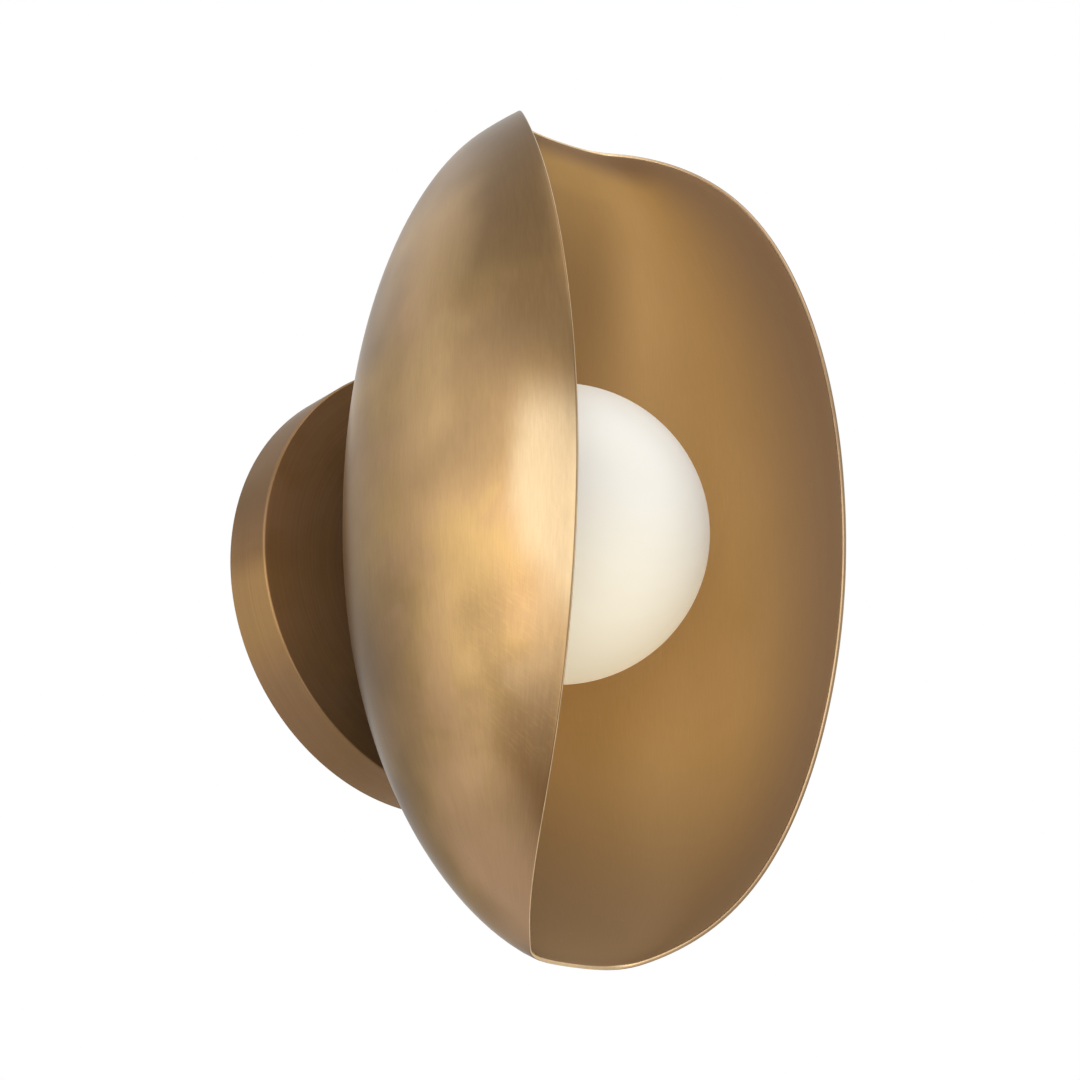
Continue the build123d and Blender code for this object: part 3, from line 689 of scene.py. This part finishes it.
def makeShadeTree(sizes, sheet):
    tree = bpy.data.node_groups.new("shadeSheet", "GeometryNodeTree")
    for label, value in sizes.items():
        kind = "NodeSocketInt" if isinstance(value, int) else "NodeSocketFloat"
        tree.interface.new_socket(label, in_out="INPUT", socket_type=kind)
    tree.interface.new_socket("Finish", in_out="INPUT", socket_type="NodeSocketMaterial")
    tree.interface.new_socket("Geometry", in_out="OUTPUT", socket_type="NodeSocketGeometry")
    given = tree.nodes.new("NodeGroupInput").outputs
    calc = calcIn(tree)
    link = tree.links.new

    def squared(value):
        return calc("MULTIPLY", value, value)

    def clamped(value, low=0.0, high=1.0):
        return calc("MINIMUM", calc("MAXIMUM", value, low), high)

    grid = tree.nodes.new("GeometryNodeMeshGrid")
    grid.inputs["Size X"].default_value = 1.0
    grid.inputs["Size Y"].default_value = 1.0
    link(given["Rings"], grid.inputs["Vertices X"])
    link(calc("ADD", given["Spokes"], 1.0), grid.inputs["Vertices Y"])
    spot = tree.nodes.new("ShaderNodeSeparateXYZ")
    link(tree.nodes.new("GeometryNodeInputPosition").outputs[0], spot.inputs[0])

    # rings from the tube's hole to the rim, spokes all the way round
    out = calc("ADD", spot.outputs[0], 0.5)
    hole = given["Centre Hole"]
    ring = calc("MULTIPLY_ADD", out, calc("SUBTRACT", 1.0, hole), hole)
    turn = calc("MULTIPLY", calc("ADD", spot.outputs[1], 0.5), 2 * math.pi)
    across = calc("MULTIPLY", ring, calc("COSINE", turn))
    upward = calc("MULTIPLY", ring, calc("SINE", turn))
    level = calc("MULTIPLY", upward, given["Tip Height"])
    span = calc("SQRT", calc("MAXIMUM", calc("SUBTRACT", 1.0, squared(upward)), 1e-8))
    side = clamped(calc("DIVIDE", across, span), low=-1.0)
    spread = calc("POWER", calc("ABSOLUTE", side), sheet["backSpread"])

    # the level's own outline: round back, widest point, closing front, elliptical rim
    rise = calc("DIVIDE", level, given["Rim Half Height"])
    riseSquare = squared(rise)
    rimRoot = calc("SQRT", calc("MAXIMUM", calc("SUBTRACT", 1.0, riseSquare), 0.0))
    rim = calc("MULTIPLY_ADD", given["Rim Length"], rimRoot, given["Rim Centre Depth"])
    radius = given["Back Radius"]
    sag = calc("SQRT", calc("SUBTRACT", squared(radius), squared(level)))
    back = calc("SUBTRACT", calc("ADD", given["Back Depth"], radius), sag)
    depth = calc("MULTIPLY_ADD", calc("SUBTRACT", rim, back), spread, back)
    reach = calc("ADD", given["Rim Half Height"], given["Side Margin"])
    closing = calc("POWER", calc("DIVIDE", calc("ABSOLUTE", level), reach), given["Side Power"])
    narrow = calc("POWER", calc("SUBTRACT", 1.0, closing), calc("DIVIDE", 1.0, given["Side Power"]))
    half = calc("MULTIPLY", given["Half Width"], narrow)

    # back quadrant: a cubic curve, solved for the share of its depth in three steps
    full = given["Back Fullness"]
    square = calc("MULTIPLY", calc("SUBTRACT", 1.0, full), 3.0)
    cube = calc("SUBTRACT", calc("MULTIPLY", full, 3.0), 2.0)
    widest = calc("SUBTRACT", given["Widest Depth"], back)
    share = clamped(calc("DIVIDE", calc("SUBTRACT", depth, back), widest))
    step = calc("SQRT", share)
    for _ in range(3):
        twice = squared(step)
        value = calc("MULTIPLY", twice, calc("MULTIPLY_ADD", cube, step, square))
        slope = calc("MULTIPLY_ADD", calc("MULTIPLY", square, 2.0), step,
                     calc("MULTIPLY", calc("MULTIPLY", cube, 3.0), twice))
        step = calc("SUBTRACT", step, calc("DIVIDE", calc("SUBTRACT", value, share), slope))
    rest = calc("SUBTRACT", 1.0, step)
    first = calc("MULTIPLY", calc("MULTIPLY", full, 3.0), calc("MULTIPLY", squared(rest), step))
    second = calc("MULTIPLY", calc("MULTIPLY", rest, 3.0), squared(step))
    third = calc("MULTIPLY", step, squared(step))
    backWidth = calc("ADD", first, calc("ADD", second, third))

    # front quadrant: an ellipse that shortens towards the tips
    shorter = calc("MULTIPLY", given["Front Drop"], riseSquare)
    length = calc("SUBTRACT", given["Front Length"], shorter)
    ahead = clamped(calc("DIVIDE", calc("SUBTRACT", depth, given["Widest Depth"]), length))
    frontWidth = calc("SQRT", calc("SUBTRACT", 1.0, squared(ahead)))
    width = calc("MULTIPLY", calc("MULTIPLY", half, backWidth), frontWidth)
    x = calc("MULTIPLY", width, calc("SIGN", side))

    # flat seat pressed into the back
    away = calc("SQRT", calc("ADD", squared(x), squared(level)))
    seatEdge = calc("ADD", given["Seat Radius"], given["Seat Blend"])
    press = rangeIn(tree, away, seatEdge, given["Seat Radius"])
    seated = calc("MULTIPLY_ADD", calc("SUBTRACT", given["Seat Depth"], depth), press, depth)
    place = tree.nodes.new("ShaderNodeCombineXYZ")
    link(x, place.inputs[0])
    link(calc("MULTIPLY", seated, -1.0), place.inputs[1])
    link(level, place.inputs[2])

    flow = grid.outputs["Mesh"]

    def then(kind):
        nonlocal flow
        node = tree.nodes.new(kind)
        link(flow, node.inputs["Geometry"])
        flow = node.outputs["Geometry"]
        return node

    # brushing map in metres: round the sheet, and along it from tip to tip
    brush = tree.nodes.new("ShaderNodeCombineXYZ")
    link(calc("MULTIPLY", side, sheet["brushSpan"]), brush.inputs[0])
    link(level, brush.inputs[1])
    store = then("GeometryNodeStoreNamedAttribute")
    store.data_type = "FLOAT2"
    store.domain = "CORNER"
    store.inputs["Name"].default_value = "brushMap"
    link(brush.outputs[0], store.inputs["Value"])

    # nearness to the cut edge, for the finishes' darker tone near the rim, which is painted shade
    # on the inside
    near = then("GeometryNodeStoreNamedAttribute")
    near.inputs["Name"].default_value = "rimNear"
    lip = calc("MULTIPLY_ADD", calc("SUBTRACT", ring, 1.0), sheet["lipSteepness"], 1.0)
    link(calc("MAXIMUM", calc("ABSOLUTE", side), lip), near.inputs["Value"])

    link(place.outputs[0], then("GeometryNodeSetPosition").inputs["Position"])
    then("GeometryNodeMergeByDistance").inputs["Distance"].default_value = sheet["seam"]
    then("GeometryNodeSetShadeSmooth")
    then("GeometryNodeRealizeInstances")
    link(given["Finish"], then("GeometryNodeSetMaterial").inputs["Material"])
    link(flow, tree.nodes.new("NodeGroupOutput").inputs["Geometry"])
    return tree


def setInputs(modifier, values):
    for item in modifier.node_group.interface.items_tree:
        if item.in_out == "INPUT" and item.name in values:
            modifier[item.identifier] = values[item.name]


def makeShade(givenSizes, sheet):
    sizes = dict(givenSizes)
    sizes["Tip Height"] = shadeTip(sizes)
    sizes["Back Radius"] = shadeBackRadius(sizes)
    shade = newPiece("shadeShell")
    modifier = shade.modifiers.new("sheet", "NODES")
    modifier.node_group = makeShadeTree(sizes, sheet)
    setInputs(modifier, {**sizes, "Finish": shadeOutside})
    mesh = plainMesh(shade)
    work = bmesh.new()
    work.from_mesh(mesh)
    outward = sum(
        face.normal.y * face.calc_area()
        for face in work.faces if face.calc_center_median().y > sheet["backFrom"]
    )
    if outward < 0:
        bmesh.ops.reverse_faces(work, faces=work.faces)
    work.to_mesh(mesh)
    work.free()
    for finish in (shadeInside, shadeEdge):
        mesh.materials.append(finish)
    wall = shade.modifiers.new("wall", "SOLIDIFY")
    wall.thickness = sheet["wall"]
    wall.offset = -1
    wall.use_even_offset = True
    wall.use_quality_normals = True
    wall.material_offset = 1
    wall.material_offset_rim = 2
    edge = shade.modifiers.new("edge", "BEVEL")
    edge.width = sheet["edgeRounding"]
    edge.segments = sheet["edgeSegments"]
    edge.limit_method = "ANGLE"
    edge.angle_limit = sheet["edgeAngle"]
    mesh = plainMesh(shade)
    mesh.set_sharp_from_angle(angle=sheet["edgeAngle"])
    return shade


shade = makeShade(shadeSizes, shadeSheet)
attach(shade, "base")
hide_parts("shade")
print("shade:", len(shade.data.polygons), "faces")


# turned pieces: an outline of (radius, depth) spun round the light's axis
def arcPoints(centre, radius, start, end, count):
    points = []
    for i in range(count + 1):
        angle = math.radians(start + (end - start) * i / count)
        points.append((centre[0] + radius * math.cos(angle), centre[1] + radius * math.sin(angle)))
    return points


turning = {"onAxis": 1e-7, "sharpFrom": math.radians(35)}


def makeTurned(name, outline, spokes, finish):
    work = bmesh.new()
    rows = []
    for radius, depth in outline:
        if radius < turning["onAxis"]:
            rows.append([work.verts.new((0, -depth, 0))] * spokes)
        else:
            rows.append([
                work.verts.new((radius * math.cos(turn), -depth, radius * math.sin(turn)))
                for turn in (2 * math.pi * i / spokes for i in range(spokes))
            ])
    for near, far in zip(rows, rows[1:] + rows[:1]):
        for i in range(spokes):
            corners = [near[i], near[(i + 1) % spokes], far[(i + 1) % spokes], far[i]]
            corners = [c for k, c in enumerate(corners) if c not in corners[:k]]
            if len(corners) > 2:
                work.faces.new(corners)
    bmesh.ops.recalc_face_normals(work, faces=work.faces)
    mesh = bpy.data.meshes.new(name)
    work.to_mesh(mesh)
    work.free()
    mesh.materials.append(finish)
    mesh.shade_smooth()
    mesh.set_sharp_from_angle(angle=turning["sharpFrom"])
    return newPiece(name, mesh)


canopySizes = {
    "radius": 0.0762, "depth": 0.0210, "wall": 0.0015, "hole": 0.00515,
    "edgeRadius": 0.0008, "edgeSteps": 8, "innerBend": 0.0005, "bendSteps": 4,
    "rimRounding": 0.0003, "spokes": 192,
}


def makeCanopy(sizes):
    outer, depth, wall = sizes["radius"], sizes["depth"], sizes["wall"]
    edge, bend, lip = sizes["edgeRadius"], sizes["innerBend"], sizes["rimRounding"]
    inside = wall + bend
    outline = [(outer - wall, lip), (outer - wall + lip, 0), (outer - lip, 0), (outer, lip)]
    outline += arcPoints((outer - edge, depth - edge), edge, 0, 90, sizes["edgeSteps"])
    outline += [(sizes["hole"], depth), (sizes["hole"], depth - wall)]
    outline += arcPoints((outer - inside, depth - inside), bend, 90, 0, sizes["bendSteps"])
    return makeTurned("canopyCup", outline, sizes["spokes"], canopyBrass)


canopy = makeCanopy(canopySizes)
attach(canopy, "base")
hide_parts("canopy")

globeSizes = {
    "radius": 0.0486, "wall": 0.0030, "flatDepth": 0.0360, "flatRadius": 0.0248,
    "bore": 0.0205, "spokes": 160, "steps": 72,
}


def makeGlobe(sizes):
    outer, inner = sizes["radius"], sizes["radius"] - sizes["wall"]
    centre = (0, sizes["flatDepth"] + math.sqrt(outer**2 - sizes["flatRadius"] ** 2))
    lower = -math.degrees(math.acos(sizes["flatRadius"] / outer))
    mouth = -math.degrees(math.acos(sizes["bore"] / inner))
    outline = arcPoints(centre, outer, lower, 90, sizes["steps"])
    outline += arcPoints(centre, inner, 90, mouth, sizes["steps"])
    outline += [(sizes["bore"], sizes["flatDepth"])]
    return makeTurned("globeGlass", outline, sizes["spokes"], slotFinish["opal_glass"])


globe = makeGlobe(globeSizes)
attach(globe, "globe")
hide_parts("globe_glass")
print("turned pieces made")

# the other solids keep their shape and take a finish by their slot
slotOf = {part["node"]: part["material_slot"] for part in frame["record"]["subparts"]}
for name, node in frame["nodes"].items():
    for holder in node.material_slots:
        holder.material = slotFinish[slotOf[name]]
    if not node.material_slots:
        node.data.materials.append(slotFinish[slotOf[name]])
print("finishes given to the carried-over solids")


floorSheet = {
    "height": -0.60,
    "size": 12.0,
    "fade": (0.7, 2.2),  # distances between which it turns white
    "colour": (0.84, 0.83, 0.81),
    "roughness": 0.8,
    "mottleScale": 3.0,
    "mottleDetail": 4.0,
    "mottlePaler": 1.03,
}


def showWhite(finish, place, fade):
    # reflections and glass see the floor as white as the background, and far off it fades to white
    tree = finish.tree
    path = tree.nodes.new("ShaderNodeLightPath")
    away = tree.nodes.new("ShaderNodeVectorMath")
    away.operation = "LENGTH"
    tree.links.new(place, away.inputs[0])
    far = rangeIn(tree, away.outputs["Value"], *fade)
    seen = finish.calc("MULTIPLY", path.outputs["Is Camera Ray"], far)
    glow = tree.nodes.new("ShaderNodeEmission")
    mixed = mixSeen(tree, path, seen, finish.shader.outputs[0], glow.outputs[0])
    tree.links.new(mixed, tree.nodes["Material Output"].inputs["Surface"])


def makeFloor(values):
    mesh = bpy.data.meshes.new("studioFloor")
    half, height = values["size"] / 2, values["height"]
    around = ((-1, -1), (1, -1), (1, 1), (-1, 1))
    mesh.from_pydata([(x * half, y * half, height) for x, y in around], [], [(0, 1, 2, 3)])
    finish = Finish("floorPaint", 0.0, values["roughness"])
    place = finish.place()
    mottle = noiseIn(finish.tree, place, values["mottleScale"], values["mottleDetail"])
    paler = tuple(part * values["mottlePaler"] for part in values["colour"])
    finish.feed("Base Color", finish.blend(mottle, values["colour"], paler))
    showWhite(finish, place, values["fade"])
    mesh.materials.append(finish.material)
    floor = newPiece("studioFloor", mesh)


makeFloor(floorSheet)
print("floor laid")
